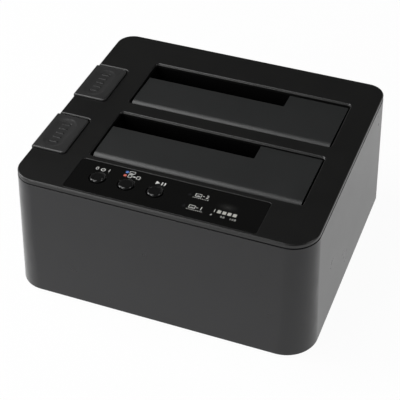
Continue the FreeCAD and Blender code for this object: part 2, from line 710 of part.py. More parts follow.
def lever_pin(front):
    half = LEVER_HALF + EAR_GAP + EAR_T + 0.4
    return rod_y(PIVOT_X, stem_y(front) - half, stem_y(front) + half, PIVOT_Z, LEVER_PIN_R)


def eject_spring(front):
    low = SHELF_Z + SHELF_T + SPRING_WIRE_R + 0.02
    high = TOP_Z + EJECT_PROUD - EJECT_SKIN - DISH_DEPTH - SPRING_WIRE_R - 0.1
    path = helix_points(SPRING_R, (high - low) / SPRING_TURNS, SPRING_TURNS, SPRING_STEPS)
    winding = bent_wire(path, SPRING_WIRE_R, SPRING_SIDES)
    winding.translate(Vector(STEM_X, stem_y(front), low))
    return winding


def drive_socket(front):
    y = centered(front + SOCKET_MID_Y, SOCKET_D)
    body = slab(SOCKET_X, y, (PCB_TOP, SOCKET_TOP))
    middle_x = (SOCKET_X[0] + SOCKET_X[1]) / 2
    slot = slab(centered(middle_x, SOCKET_SLOT[0]), centered(front + SOCKET_MID_Y, SOCKET_SLOT[1]),
                (SOCKET_TOP - SOCKET_SLOT[2], SOCKET_TOP + 1))
    key = slab(centered(SOCKET_KEY_X, SOCKET_KEY_W), y, (SOCKET_TOP - SOCKET_SLOT[2] - 1, SOCKET_TOP))
    keyed = slot.cut(key.common(slot))
    lead_in = body.makeChamfer(0.6, level_edges(body, SOCKET_TOP))
    return lead_in.cut(keyed)


def panel_outline(grow, low, high):
    x = (-PANEL_X - grow, PANEL_X + grow)
    y = (PANEL_Y[0] - grow, PANEL_Y[1] + grow)
    return rounded_slab(x, y, (low, high), PANEL_R + grow)


def lens_places():
    return tuple(STATUS_LEDS.values()) + DRIVE_LEDS


def bar_blocks(low, high):
    return [slab(centered(BAR_X + index * BAR_PITCH, 2 * BAR_HALF[0]), centered(BAR_Y, 2 * BAR_HALF[1]), (low, high))
            for index in range(BAR_COUNT)]


def control_panel():
    panel = panel_outline(0.0, PANEL_Z, PANEL_Z + PANEL_T)
    holes = [post(x, BUTTON_Y, PANEL_Z - 1, TOP_Z, BUTTON_RING_R) for x in BUTTONS.values()]
    holes += [stud(x, y, PANEL_Z - 1, TOP_Z, LED_R) for x, y in lens_places()]
    holes += bar_blocks(PANEL_Z - 1, TOP_Z)
    return panel.cut(holes)


def round_button(x):
    # a bevelled cap, a flange that stops under the cover, and the plunger that reaches into its switch
    flange_top = COVER_Z - BUTTON_FLANGE_GAP
    flange_low = flange_top - BUTTON_FLANGE_T
    plunger_low = PANEL_PCB_Z + PCB_T + SWITCH_H - SWITCH_WELL + BUTTON_TRAVEL + 0.2
    crown = TOP_Z + BUTTON_PROUD
    cap = post(x, BUTTON_Y, flange_top, crown, BUTTON_R)
    cap = cap.makeChamfer(BUTTON_BEVEL, level_edges(cap, crown))
    flange = stud(x, BUTTON_Y, flange_low, flange_top, BUTTON_FLANGE_R, BUTTON_FLANGE_SIDES)
    return join([cap, flange, stud(x, BUTTON_Y, plunger_low, flange_low + 0.1, PLUNGER_R)])


def light_pipe(x, y):
    return stud(x, y, LENS_BOTTOM, PANEL_Z + PANEL_T, LED_R)


def progress_bar_lens():
    blocks = bar_blocks(LENS_BOTTOM, PANEL_Z + PANEL_T)
    ends = (BAR_X - BAR_HALF[0], BAR_X + (BAR_COUNT - 1) * BAR_PITCH + BAR_HALF[0])
    tie = slab(ends, centered(BAR_Y, 2 * BAR_HALF[1]), (LENS_BOTTOM, LENS_BOTTOM + 1))
    return join(blocks + [tie])


def panel_board():
    board = slab(PANEL_PCB_X, PANEL_PCB_Y, (PANEL_PCB_Z, PANEL_PCB_Z + PCB_T))
    return board.cut([stud(x, y, PANEL_PCB_Z - 1, PANEL_PCB_Z + PCB_T + 1, BAY_SCREW_R) for x, y in PANEL_SCREWS])


def panel_switches():
    low = PANEL_PCB_Z + PCB_T
    switches = []
    for x in BUTTONS.values():
        body = slab(centered(x, 2 * SWITCH_HALF), centered(BUTTON_Y, 2 * SWITCH_HALF), (low, low + SWITCH_H))
        well = stud(x, BUTTON_Y, low + SWITCH_H - SWITCH_WELL, low + SWITCH_H + 1, PLUNGER_R + 0.15)
        switches.append(body.cut(well))
    return Part.makeCompound(switches)


def panel_leds():
    low = PANEL_PCB_Z + PCB_T
    places = list(lens_places()) + [(BAR_X + index * BAR_PITCH, BAR_Y) for index in range(BAR_COUNT)]
    return Part.makeCompound(
        [slab(centered(x, LED_CHIP[0]), centered(y, LED_CHIP[1]), (low, low + LED_CHIP[2])) for x, y in places])


def main_board():
    board = slab(PCB_X, PCB_Y, (PCB_Z, PCB_TOP))
    return board.cut([stud(x, y, PCB_Z - 1, PCB_TOP + 1, BOARD_SCREW_R) for x, y in BOARD_SCREWS])


def port_body(x, size):
    return slab(centered(x, size[0]), (PORT_FACE_Y - size[1], PORT_FACE_Y), (PCB_TOP, PCB_TOP + size[2]))


def port_cavity(x, size, cavity):
    middle = PCB_TOP + size[2] / 2
    return slab(centered(x, cavity[0]), (PORT_FACE_Y - cavity[1], PORT_FACE_Y + 1), centered(middle, cavity[2]))


def power_socket():
    middle = PCB_TOP + POWER_SIZE[2] / 2
    body = port_body(POWER_X, POWER_SIZE)
    bore = rod_y(POWER_X, PORT_FACE_Y - POWER_BORE_L, PORT_FACE_Y + 1, middle, POWER_BORE_R)
    pin = rod_y(POWER_X, PORT_FACE_Y - POWER_BORE_L - 1, PORT_FACE_Y - 1, middle, POWER_PIN_R)
    return join([body.cut(bore), pin])


def tongue_port(x, size, cavity, tongue):
    # a socket with a tongue standing free inside its mouth
    middle = PCB_TOP + size[2] / 2
    body = port_body(x, size).cut(port_cavity(x, size, cavity))
    base = PORT_FACE_Y - cavity[1]
    blade = slab(centered(x, tongue[0]), (base - 1, base + tongue[1]), centered(middle, tongue[2]))
    return join([body, blade])


def main_chips():
    return Part.makeCompound(
        [slab(centered(x, side), centered(y, side), (PCB_TOP, PCB_TOP + CHIP_H)) for x, y, side in CHIPS])


def capacitors():
    return Part.makeCompound([stud(x, y, PCB_TOP, PCB_TOP + CAPACITOR_H, CAPACITOR_R, 12) for x, y in CAPACITORS])


def ribbon_ends():
    return (PANEL_PCB_Z - CONNECTOR_H + 1, RIBBON_Y[0]), (PCB_TOP + CONNECTOR_H - 1, RIBBON_Y[1])


def ribbon_cable():
    # straight down from the panel board, one easy jog towards the back, then straight down again
    (top_z, top_y), (low_z, low_y) = ribbon_ends()
    step = (low_y - top_y) / 2
    turn = math.acos(1 - step / RIBBON_BEND_R)
    rise = RIBBON_BEND_R * math.sin(turn)
    half = turn / 2
    start = Vector(0, top_y, RIBBON_JOG_Z + rise)
    middle = Vector(0, top_y + step, RIBBON_JOG_Z)
    end = Vector(0, low_y, RIBBON_JOG_Z - rise)
    bulge = Vector(0, RIBBON_BEND_R * (1 - math.cos(half)), -RIBBON_BEND_R * math.sin(half))
    edges = [
        Part.makeLine(Vector(0, top_y, top_z), start),
        Part.Arc(start, start + bulge, middle).toShape(),
        Part.Arc(middle, end - bulge, end).toShape(),
        Part.makeLine(end, Vector(0, low_y, low_z)),
    ]
    corners = [Vector(x, top_y + y, top_z) for x, y in (
        (RIBBON_X[0], -RIBBON_T / 2), (RIBBON_X[1], -RIBBON_T / 2),
        (RIBBON_X[1], RIBBON_T / 2), (RIBBON_X[0], RIBBON_T / 2))]
    section = Part.makePolygon(corners + corners[:1])
    return Part.Wire(edges).makePipeShell([section], True, False)


def ribbon_connectors():
    (top_z, top_y), (low_z, low_y) = ribbon_ends()
    x = (RIBBON_X[0] - CONNECTOR_WALL, RIBBON_X[1] + CONNECTOR_WALL)
    upper = slab(x, centered(top_y, CONNECTOR_D), (PANEL_PCB_Z - CONNECTOR_H, PANEL_PCB_Z))
    lower = slab(x, centered(low_y, CONNECTOR_D), (PCB_TOP, PCB_TOP + CONNECTOR_H))
    slot_high = slab(RIBBON_X, centered(top_y, RIBBON_T), (PANEL_PCB_Z - CONNECTOR_H - 1, top_z))
    slot_low = slab(RIBBON_X, centered(low_y, RIBBON_T), (low_z, PCB_TOP + CONNECTOR_H + 1))
    return Part.makeCompound([upper.cut(slot_high), lower.cut(slot_low)])


def main():
    os.makedirs("parts", exist_ok=True)
    export("outer_shell", outer_shell())
    export("top_cover", top_cover())
    export("base_plate", base_plate())
    export("feet", feet())
    export("case_screws", case_screws())
    export("bay_screws", bay_screws())
    for bay, front in BAY_FRONT.items():
        export(bay + "_bay_frame", bay_frame(front))
        export(bay + "_flap", flap(front, FLAP_REST[bay]))
        export(bay + "_flap_pin", flap_pin(front))
        export(bay + "_flap_spring", flap_spring(front))
        export(bay + "_eject_button", eject_button(front))
        export(bay + "_eject_spring", eject_spring(front))
        export(bay + "_eject_lever", eject_lever(front))
        export(bay + "_lever_pin", lever_pin(front))
        export(bay + "_drive_socket", drive_socket(front))
    export("control_panel", control_panel())
    for name, x in BUTTONS.items():
        export(name, round_button(x))
    for name, place in STATUS_LEDS.items():
        export(name, light_pipe(*place))
    export("drive_led_lenses", Part.makeCompound([light_pipe(x, y) for x, y in DRIVE_LEDS]))
    export("progress_bar_lens", progress_bar_lens())
    export("panel_board", panel_board())
    export("panel_switches", panel_switches())
    export("panel_leds", panel_leds())
    export("panel_board_screws", panel_board_screws())
    export("main_board", main_board())
    export("board_screws", board_screws())
    export("power_socket", power_socket())
    export("usb_socket", tongue_port(USB_X, USB_SIZE, USB_MOUTH, USB_TONGUE))
    export("esata_socket", tongue_port(ESATA_X, ESATA_SIZE, ESATA_MOUTH, ESATA_TONGUE))
    export("main_chips", main_chips())
    export("capacitors", capacitors())
    export("ribbon_cable", ribbon_cable())
    export("ribbon_connectors", ribbon_connectors())


main()
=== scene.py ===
import math

import bmesh
import bpy
from mathutils import Matrix, Vector


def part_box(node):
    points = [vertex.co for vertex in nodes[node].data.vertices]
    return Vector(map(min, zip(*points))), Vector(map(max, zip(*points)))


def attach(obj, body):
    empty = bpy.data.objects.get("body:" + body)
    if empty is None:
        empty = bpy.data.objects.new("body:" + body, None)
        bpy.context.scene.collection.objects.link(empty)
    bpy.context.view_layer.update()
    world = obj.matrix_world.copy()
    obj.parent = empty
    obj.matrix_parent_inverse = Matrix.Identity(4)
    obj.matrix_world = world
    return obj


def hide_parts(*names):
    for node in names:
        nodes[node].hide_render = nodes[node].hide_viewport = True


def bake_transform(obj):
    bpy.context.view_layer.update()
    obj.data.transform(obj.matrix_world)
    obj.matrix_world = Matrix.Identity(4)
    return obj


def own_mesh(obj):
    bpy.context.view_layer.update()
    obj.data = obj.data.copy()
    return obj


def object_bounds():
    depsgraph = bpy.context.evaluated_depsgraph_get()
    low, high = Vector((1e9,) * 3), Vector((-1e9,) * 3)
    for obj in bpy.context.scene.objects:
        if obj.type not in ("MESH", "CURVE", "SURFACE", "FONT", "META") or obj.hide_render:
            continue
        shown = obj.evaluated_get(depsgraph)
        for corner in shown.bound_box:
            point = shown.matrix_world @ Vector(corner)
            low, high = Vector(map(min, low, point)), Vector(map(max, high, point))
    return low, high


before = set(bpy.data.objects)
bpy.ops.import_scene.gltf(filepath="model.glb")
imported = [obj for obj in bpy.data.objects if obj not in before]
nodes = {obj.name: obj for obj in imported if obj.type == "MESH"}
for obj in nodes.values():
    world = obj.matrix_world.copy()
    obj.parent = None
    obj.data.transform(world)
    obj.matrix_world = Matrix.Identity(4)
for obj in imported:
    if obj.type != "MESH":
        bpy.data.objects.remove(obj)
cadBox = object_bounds()
mm = 0.001
print("frame loaded:", len(nodes), "nodes")

# camera

viewpoint = {
    "yaw": 20.87, "pitch": 39.86, "distance": 0.5822,  # degrees, degrees, metres
    "aim": (-1.07, -7.2, -5.83),                       # mm from the middle of the part's box
    "lens": 104.82, "sensor": 36.0,                    # mm
    "near": 0.02, "far": 20.0,                         # metres
}


def placeCamera():
    yaw, pitch = math.radians(viewpoint["yaw"]), math.radians(viewpoint["pitch"])
    forward = Vector((-math.sin(yaw) * math.cos(pitch), math.cos(yaw) * math.cos(pitch), -math.sin(pitch)))
    aim = (cadBox[0] + cadBox[1]) / 2 + Vector(viewpoint["aim"]) * mm
    data = bpy.data.cameras.new("camera")
    data.lens, data.sensor_width = viewpoint["lens"], viewpoint["sensor"]
    data.clip_start, data.clip_end = viewpoint["near"], viewpoint["far"]
    camera = bpy.data.objects.new("camera", data)
    camera.location = aim - forward * viewpoint["distance"]
    camera.rotation_euler = forward.to_track_quat("-Z", "Y").to_euler()
    bpy.context.scene.collection.objects.link(camera)
    bpy.context.scene.camera = camera


placeCamera()
bpy.context.scene.view_settings.view_transform = "Standard"
print("camera placed")

# helpers for materials


def toLinear(hexColour):
    channels = [int(hexColour[i:i + 2], 16) / 255 for i in (1, 3, 5)]
    return [c / 12.92 if c <= 0.04045 else ((c + 0.055) / 1.055) ** 2.4 for c in channels] + [1.0]


def addNode(tree, kind, settings=None, links=None):
    node = tree.nodes.new(kind)
    for name, value in (settings or {}).items():
        if isinstance(name, int) or name in node.inputs:
            node.inputs[name].default_value = value
        else:
            setattr(node, name, value)
    for name, source in (links or {}).items():
        tree.links.new(source, node.inputs[name])
    return node


def newMaterial(name):
    material = bpy.data.materials.new(name)
    material.use_nodes = True
    tree = material.node_tree
    tree.nodes.clear()
    return material, tree


def perMetre(millimetres):
    return 1000.0 / millimetres  # a pattern of that size, as the scale of a texture


# materials: sizes are in mm, and "rough" goes up and down by "spread"

mouldSkin = {"flowDetail": 3.0, "grainDetail": 2.0, "bloomRough": 0.35}


def mouldedPlastic(name, look):
    # resin from a spark-eroded mould: a fine matt grain, faint flow mottling and uneven sheen
    # the real grain is near 0.05 mm, and it is drawn as coarse as it needs to show
    material, tree = newMaterial(name)
    place = addNode(tree, "ShaderNodeTexCoord").outputs["Object"]
    flow = addNode(tree, "ShaderNodeTexNoise", {"Scale": perMetre(look["flow"]), "Detail": mouldSkin["flowDetail"]},
                   {"Vector": place})
    tint = addNode(tree, "ShaderNodeMix", {"data_type": "RGBA", 6: toLinear(look["dark"]), 7: toLinear(look["light"])},
                   {0: flow.outputs["Fac"]})
    grain = addNode(tree, "ShaderNodeTexNoise", {"Scale": perMetre(look["grain"]), "Detail": mouldSkin["grainDetail"]},
                    {"Vector": place})
    bump = addNode(tree, "ShaderNodeBump", {"Strength": look["bump"], "Distance": look["depth"] * mm},
                   {"Height": grain.outputs["Fac"]})
    sheen = addNode(tree, "ShaderNodeMapRange",
                    {"To Min": look["rough"] - look["spread"], "To Max": look["rough"] + look["spread"]},
                    {"Value": flow.outputs["Fac"]})
    # bloom: the pale veil that a matt grain shows at a glance along it
    surface = addNode(tree, "ShaderNodeBsdfPrincipled",
                      {"IOR": look["ior"], "Sheen Weight": look.get("bloom", 0.0),
                       "Sheen Roughness": mouldSkin["bloomRough"]},
                      {"Base Color": tint.outputs[2], "Roughness": sheen.outputs["Result"],
                       "Normal": bump.outputs["Normal"]})
    addNode(tree, "ShaderNodeOutputMaterial", None, {"Surface": surface.outputs["BSDF"]})
    return material


plastics = {
    # the shell: matt black, dark grey head-on and pale at a glance along it
    "matt moulded ABS": {"dark": "#151517", "light": "#1a1a1c", "rough": 0.28, "spread": 0.015, "ior": 1.44,
                         "flow": 14.0, "grain": 0.45, "bump": 0.03, "depth": 0.02, "bloom": 0.3},
    # the cover: a finer, blacker satin
    "satin moulded ABS": {"dark": "#0f0f0f", "light": "#131312", "rough": 0.34, "spread": 0.03, "ior": 1.48,
                          "flow": 12.0, "grain": 0.4, "bump": 0.15, "depth": 0.02},
    # the flaps: charcoal, which takes more light than the cover round it
    "charcoal moulded ABS": {"dark": "#1d1e1e", "light": "#232424", "rough": 0.42, "spread": 0.03, "ior": 1.48,
                             "flow": 12.0, "grain": 0.4, "bump": 0.2, "depth": 0.02},
    # the eject buttons: the same resin, rubbed smoother by thumbs
    "rubbed moulded ABS": {"dark": "#242424", "light": "#2b2b2b", "rough": 0.38, "spread": 0.05, "ior": 1.48,
                           "flow": 8.0, "grain": 0.4, "bump": 0.15, "depth": 0.02},
    # the wells: a black darker than the resin, painted shade for the dark deep inside the wells; plain, as it leaves
    # the tool, and dull
    "moulded polystyrene with painted shade": {"dark": "#020202", "light": "#040404", "rough": 0.75, "spread": 0.04, "ior": 1.15,
                                  "flow": 10.0, "grain": 0.5, "bump": 0.2, "depth": 0.03},
    # the levers: waxy dark grey
    "moulded acetal": {"dark": "#3a3a3a", "light": "#424242", "rough": 0.35, "spread": 0.04, "ior": 1.48,
                       "flow": 6.0, "grain": 0.6, "bump": 0.1, "depth": 0.02},
    # the sockets: a coarse dry grain from the glass fibre
    "glass-filled moulded nylon": {"dark": "#151515", "light": "#1d1d1d", "rough": 0.5, "spread": 0.06, "ior": 1.5,
                                   "flow": 4.0, "grain": 0.25, "bump": 0.3, "depth": 0.02},
    # chip packages: a dull, sandy black
    "moulded epoxy": {"dark": "#191919", "light": "#202020", "rough": 0.55, "spread": 0.05, "ior": 1.5,
                      "flow": 3.0, "grain": 0.2, "bump": 0.3, "depth": 0.02},
    # connectors: a warm milky white
    "natural moulded nylon": {"dark": "#d8d3c4", "light": "#e4e0d3", "rough": 0.45, "spread": 0.05, "ior": 1.5,
                              "flow": 3.0, "grain": 0.4, "bump": 0.1, "depth": 0.02},
    # ribbon insulation: soft grey
    "extruded PVC": {"dark": "#8b8d8e", "light": "#9a9c9d", "rough": 0.45, "spread": 0.05, "ior": 1.5,
                     "flow": 3.0, "grain": 0.5, "bump": 0.1, "depth": 0.02},
    # the feet: dull and faintly dusty
    "moulded rubber": {"dark": "#1b1b1b", "light": "#242423", "rough": 0.8, "spread": 0.08, "ior": 1.5,
                       "flow": 3.0, "grain": 0.3, "bump": 0.35, "depth": 0.03},
}


polish = {"ior": 1.49, "hazeDetail": 4.0, "rippleDetail": 1.0, "bump": 0.04, "depth": 0.05}


def polishedAcrylic(name, look):
    # polished black acrylic: almost a mirror, with a very faint ripple from the moulding
    material, tree = newMaterial(name)
    place = addNode(tree, "ShaderNodeTexCoord").outputs["Object"]
    haze = addNode(tree, "ShaderNodeTexNoise", {"Scale": perMetre(look["haze"]), "Detail": polish["hazeDetail"]},
                   {"Vector": place})
    tint = addNode(tree, "ShaderNodeMix", {"data_type": "RGBA", 6: toLinear(look["deep"]), 7: toLinear(look["base"])},
                   {0: haze.outputs["Fac"]}).outputs[2]
    sheen = addNode(tree, "ShaderNodeMapRange",
                    {"To Min": look["rough"] - look["spread"], "To Max": look["rough"] + look["spread"]},
                    {"Value": haze.outputs["Fac"]})
    ripple = addNode(tree, "ShaderNodeTexNoise", {"Scale": perMetre(look["ripple"]), "Detail": polish["rippleDetail"]},
                     {"Vector": place})
    bump = addNode(tree, "ShaderNodeBump", {"Strength": polish["bump"], "Distance": polish["depth"] * mm},
                   {"Height": ripple.outputs["Fac"]})
    if "bleed" in look:
        # painted glow: a paler patch painted into the acrylic's colour round the progress bar, for its light bleeding
        # a little way into the acrylic behind it
        offset = addNode(tree, "ShaderNodeMapping",
                         {"Location": [-c / r for c, r in zip(look["bleed"], look["reach"])],
                          "Scale": [perMetre(r) for r in look["reach"]]}, {"Vector": place})
        spot = addNode(tree, "ShaderNodeTexGradient", {"gradient_type": "QUADRATIC_SPHERE"},
                       {"Vector": offset.outputs["Vector"]})
        tint = addNode(tree, "ShaderNodeMix", {"data_type": "RGBA", 7: toLinear(look["lit"])},
                       {0: spot.outputs["Fac"], 6: tint}).outputs[2]
    surface = addNode(tree, "ShaderNodeBsdfPrincipled", {"IOR": polish["ior"]},
                      {"Base Color": tint, "Roughness": sheen.outputs["Result"], "Normal": bump.outputs["Normal"]})
    addNode(tree, "ShaderNodeOutputMaterial", None, {"Surface": surface.outputs["BSDF"]})
    return material


acrylics = {
    # the panel: a deep black, glass-like skin, with a painted glow round the progress bar; "bleed" is in mm from the
    # part's origin
    "polished black acrylic": {"base": "#0c0c0c", "deep": "#090908", "rough": 0.1, "spread": 0.03, "ripple": 9.0,
                               "haze": 20.0, "bleed": (29.2, -51.6, 67.7), "reach": (6.5, 3.6, 3.0), "lit": "#2a2a29"},
    # the round buttons: the same, dulled by fingers
    "fingered black acrylic": {"base": "#121212", "deep": "#0e0e0e", "rough": 0.14, "spread": 0.03, "ripple": 5.0,
                               "haze": 6.0},
}


pipe = {"ior": 1.49, "rough": 0.15, "cloudDetail": 2.0}


def lensResin(name, look):
    # tinted acrylic light pipes, lit from below: a cloudy tint that glows in the same colour, with a polished skin
    material, tree = newMaterial(name)
    place = addNode(tree, "ShaderNodeTexCoord").outputs["Object"]
    cloud = addNode(tree, "ShaderNodeTexNoise", {"Scale": perMetre(look["cloud"]), "Detail": pipe["cloudDetail"]},
                    {"Vector": place})
    tint = addNode(tree, "ShaderNodeMix", {"data_type": "RGBA", 6: toLinear(look["dark"]), 7: toLinear(look["light"])},
                   {0: cloud.outputs["Fac"]})
    surface = addNode(tree, "ShaderNodeBsdfPrincipled",
                      {"IOR": pipe["ior"], "Roughness": pipe["rough"], "Emission Strength": look["glow"]},
                      {"Base Color": tint.outputs[2], "Emission Color": tint.outputs[2]})
    addNode(tree, "ShaderNodeOutputMaterial", None, {"Surface": surface.outputs["BSDF"]})
    return material


lenses = {
    # indicator caps and the bar: clear colour, with a soft glow only where a lamp is lit
    "blue cast acrylic": {"dark": "#3a5c98", "light": "#6483bb", "cloud": 0.8, "glow": 0.15},
    "red cast acrylic": {"dark": "#a4483f", "light": "#c46c61", "cloud": 0.8, "glow": 0.15},
    "smoked cast acrylic": {"dark": "#161617", "light": "#1c1c1d", "cloud": 0.8, "glow": 0.0},
    "frosted cast acrylic": {"dark": "#9b9a95", "light": "#b8b7b1", "cloud": 0.9, "glow": 0.1},
}


drawing = {"detail": 4.0, "smoother": 0.06, "rougher": 0.08, "bump": 0.12, "depth": 0.01}


def drawnMetal(name, look):
    # steel, tin and aluminium parts: the grain runs along the way they were drawn or rolled
    material, tree = newMaterial(name)
    place = addNode(tree, "ShaderNodeTexCoord").outputs["Object"]
    stretch = addNode(tree, "ShaderNodeMapping", {"Scale": look["run"]}, {"Vector": place})
    grain = addNode(tree, "ShaderNodeTexNoise", {"Scale": perMetre(look["grain"]), "Detail": drawing["detail"]},
                    {"Vector": stretch.outputs["Vector"]})
    tint = addNode(tree, "ShaderNodeMix", {"data_type": "RGBA", 6: toLinear(look["dark"]), 7: toLinear(look["light"])},
                   {0: grain.outputs["Fac"]})
    sheen = addNode(tree, "ShaderNodeMapRange",
                    {"To Min": look["rough"] - drawing["smoother"], "To Max": look["rough"] + drawing["rougher"]},
                    {"Value": grain.outputs["Fac"]})
    bump = addNode(tree, "ShaderNodeBump", {"Strength": drawing["bump"], "Distance": drawing["depth"] * mm},
                   {"Height": grain.outputs["Fac"]})
    surface = addNode(tree, "ShaderNodeBsdfPrincipled", {"Metallic": 1.0},
                      {"Base Color": tint.outputs[2], "Roughness": sheen.outputs["Result"],
                       "Normal": bump.outputs["Normal"]})
    addNode(tree, "ShaderNodeOutputMaterial", None, {"Surface": surface.outputs["BSDF"]})
    return material


metals = {
    # pins and rods: bright, with streaks along the bar
    "drawn steel": {"dark": "#a9aaab", "light": "#c9cacb", "rough": 0.3, "grain": 0.3, "run": (0.1, 1.0, 1.0)},
    # springs: a little duller, as the wire turns every way
    "drawn spring wire": {"dark": "#9a9a98", "light": "#c2c2bf", "rough": 0.32, "grain": 0.25, "run": (1.0, 1.0, 1.0)},
    # screws: dark, with the metal just showing
    "black zinc plated steel": {"dark": "#2b2b2c", "light": "#3b3b3c", "rough": 0.38, "grain": 0.4,
                                "run": (1.0, 1.0, 1.0)},
    # capacitor cans: streaks down the can
    "drawn aluminium": {"dark": "#b9bbbd", "light": "#d4d6d8", "rough": 0.28, "grain": 0.3, "run": (1.0, 1.0, 0.1)},
    # port shells: rolled strip, folded, with a cool grey tin skin
    "folded tinplate": {"dark": "#a7a8a8", "light": "#c6c7c7", "rough": 0.34, "grain": 0.3, "run": (1.0, 0.1, 1.0)},
    # contacts: warm yellow, wiped bright along their length
    "gold plated bronze": {"dark": "#c79a45", "light": "#e3bd6b", "rough": 0.25, "grain": 0.2, "run": (1.0, 1.0, 0.2)},
}


def solderMask():
    # green solder mask over copper runs: a glossy skin, with tracks that stand a hair proud
    look = {"ground": "#0d4a28", "track": "#14663a", "pitch": 2.54, "width": 0.012, "rough": 0.3, "ior": 1.5,
            "bump": 0.3, "depth": 0.03}
    rowsPerUnit = 4  # a row of the brick texture is a quarter of its unit high
    material, tree = newMaterial("solder masked glass epoxy")
    place = addNode(tree, "ShaderNodeTexCoord").outputs["Object"]
    tracks = addNode(tree, "ShaderNodeTexBrick",
                     {"Scale": perMetre(look["pitch"]) / rowsPerUnit, "Mortar Size": look["width"],
                      "Color1": (0, 0, 0, 1), "Color2": (0, 0, 0, 1), "Mortar": (1, 1, 1, 1)}, {"Vector": place})
    tint = addNode(tree, "ShaderNodeMix",
                   {"data_type": "RGBA", 6: toLinear(look["ground"]), 7: toLinear(look["track"])},
                   {0: tracks.outputs["Color"]})
    bump = addNode(tree, "ShaderNodeBump", {"Strength": look["bump"], "Distance": look["depth"] * mm},
                   {"Height": tracks.outputs["Color"]})
    surface = addNode(tree, "ShaderNodeBsdfPrincipled", {"IOR": look["ior"], "Roughness": look["rough"]},
                      {"Base Color": tint.outputs[2], "Normal": bump.outputs["Normal"]})
    addNode(tree, "ShaderNodeOutputMaterial", None, {"Surface": surface.outputs["BSDF"]})
    return material


def paddedInk():
    # pad-printed white ink: soft, thin, a little uneven
    look = {"dark": "#b9b9b6", "light": "#dededb", "cloud": 0.5, "detail": 2.0, "rough": 0.5, "ior": 1.5}
    material, tree = newMaterial("pad printed ink")
    place = addNode(tree, "ShaderNodeTexCoord").outputs["Object"]
    cloud = addNode(tree, "ShaderNodeTexNoise", {"Scale": perMetre(look["cloud"]), "Detail": look["detail"]},
                    {"Vector": place})
    tint = addNode(tree, "ShaderNodeMix", {"data_type": "RGBA", 6: toLinear(look["dark"]), 7: toLinear(look["light"])},
                   {0: cloud.outputs["Fac"]})
    surface = addNode(tree, "ShaderNodeBsdfPrincipled", {"IOR": look["ior"], "Roughness": look["rough"]},
                      {"Base Color": tint.outputs[2]})
    addNode(tree, "ShaderNodeOutputMaterial", None, {"Surface": surface.outputs["BSDF"]})
    return material


finishes = {name: mouldedPlastic(name, look) for name, look in plastics.items()}
finishes.update({name: lensResin(name, look) for name, look in lenses.items()})
finishes.update({name: drawnMetal(name, look) for name, look in metals.items()})
finishes.update({name: polishedAcrylic(name, look) for name, look in acrylics.items()})
finishes["solder masked glass epoxy"] = solderMask()
finishes["pad printed ink"] = paddedInk()

# which finish each of the record's slots takes
slotFinishes = {
    "shell_plastic": "matt moulded ABS", "cover_plastic": "satin moulded ABS", "flap_plastic": "charcoal moulded ABS",
    "button_plastic": "rubbed moulded ABS", "frame_plastic": "moulded polystyrene with painted shade",
    "lever_plastic": "moulded acetal", "socket_plastic": "glass-filled moulded nylon", "chip_black": "moulded epoxy",
    "connector_white": "natural moulded nylon", "ribbon_grey": "extruded PVC", "foot_rubber": "moulded rubber",
    "panel_gloss": "polished black acrylic", "button_gloss": "fingered black acrylic",
    "lens_blue": "blue cast acrylic", "lens_red": "red cast acrylic", "lens_smoke": "smoked cast acrylic",
    "lens_clear": "frosted cast acrylic", "steel": "drawn steel", "spring_steel": "drawn spring wire",
    "screw_steel": "black zinc plated steel", "capacitor_can": "drawn aluminium", "port_metal": "folded tinplate",
    "board_green": "solder masked glass epoxy",
}
for node in nodes.values():
    for holder in node.material_slots:
        holder.material = finishes[slotFinishes[holder.material.name.split(".")[0]]]
print("materials made:", len(finishes))

# edges: every moulded part has a small round where two faces meet

edgeRounds = {
    "outer_shell": 0.12, "top_cover": 0.22, "control_panel": 0.12, "front_flap": 0.2, "rear_flap": 0.2,
    "front_eject_button": 0.25, "rear_eject_button": 0.25, "power_button": 0.2, "mode_button": 0.2,
    "start_button": 0.2, "base_plate": 0.2, "feet": 0.3,
}
rounding = {"weld": 0.002, "flat": 0.5, "edge": 35, "segments": 2, "weight": 100}  # mm, degrees, degrees


def softenEdges(node, width):
    node.data.shade_smooth()  # shading only: the shape is the CAD's
    weld = node.modifiers.new("weld", "WELD")
    weld.merge_threshold = rounding["weld"] * mm
    if node == nodes["top_cover"]:
        # its large flat is one face, so that no thin triangle across it is taken for an edge
        flats = node.modifiers.new("flats", "DECIMATE")
        flats.decimate_type, flats.angle_limit = "DISSOLVE", math.radians(rounding["flat"])
    bevel = node.modifiers.new("edge round", "BEVEL")
    bevel.width, bevel.segments = width * mm, rounding["segments"]
    bevel.limit_method, bevel.angle_limit = "ANGLE", math.radians(rounding["edge"])
    bevel.use_clamp_overlap = False
    normals = node.modifiers.new("normals", "WEIGHTED_NORMAL")
    normals.keep_sharp = False
    normals.weight = rounding["weight"]


for name, width in edgeRounds.items():
    softenEdges(nodes[name], width)
print("edges rounded:", len(edgeRounds))

# the panel's pad-printed marks: mm, with "at" measured from the panel's front left corner

